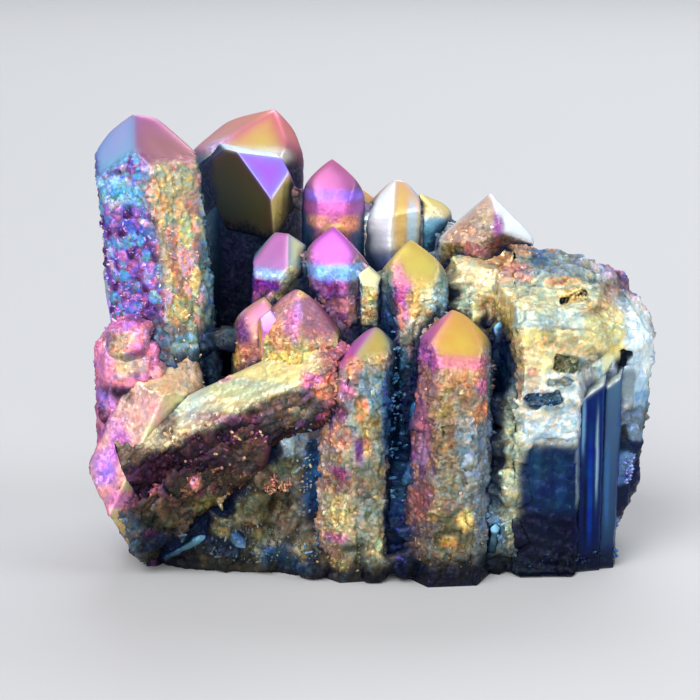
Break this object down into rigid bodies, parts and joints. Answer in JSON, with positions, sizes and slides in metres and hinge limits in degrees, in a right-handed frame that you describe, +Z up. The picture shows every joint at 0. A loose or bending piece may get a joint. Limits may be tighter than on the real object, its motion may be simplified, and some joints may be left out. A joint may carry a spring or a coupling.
{
  "type": "aura quartz cluster",
  "caption": "Cluster of metal-coated quartz crystals grown together, with pointed tips, a slanting slab, a broken stub and a flat base it stands on.",
  "frame": {"origin": "bottom centre of the cluster's bounding box, on the plane of the flat cut base", "axes": "+Z up along the crystals, +X to the right seen from the front, -Y towards the viewer"},
  "size_m": [0.0706, 0.046, 0.0565],
  "materials": {
    "coated_quartz": "iridescent titanium film, glossy on crystal faces and rough on growth blocks"
  },
  "bodies": {
    "root": {"quartz_cluster": "coated_quartz"}
  },
  "joints": []
}
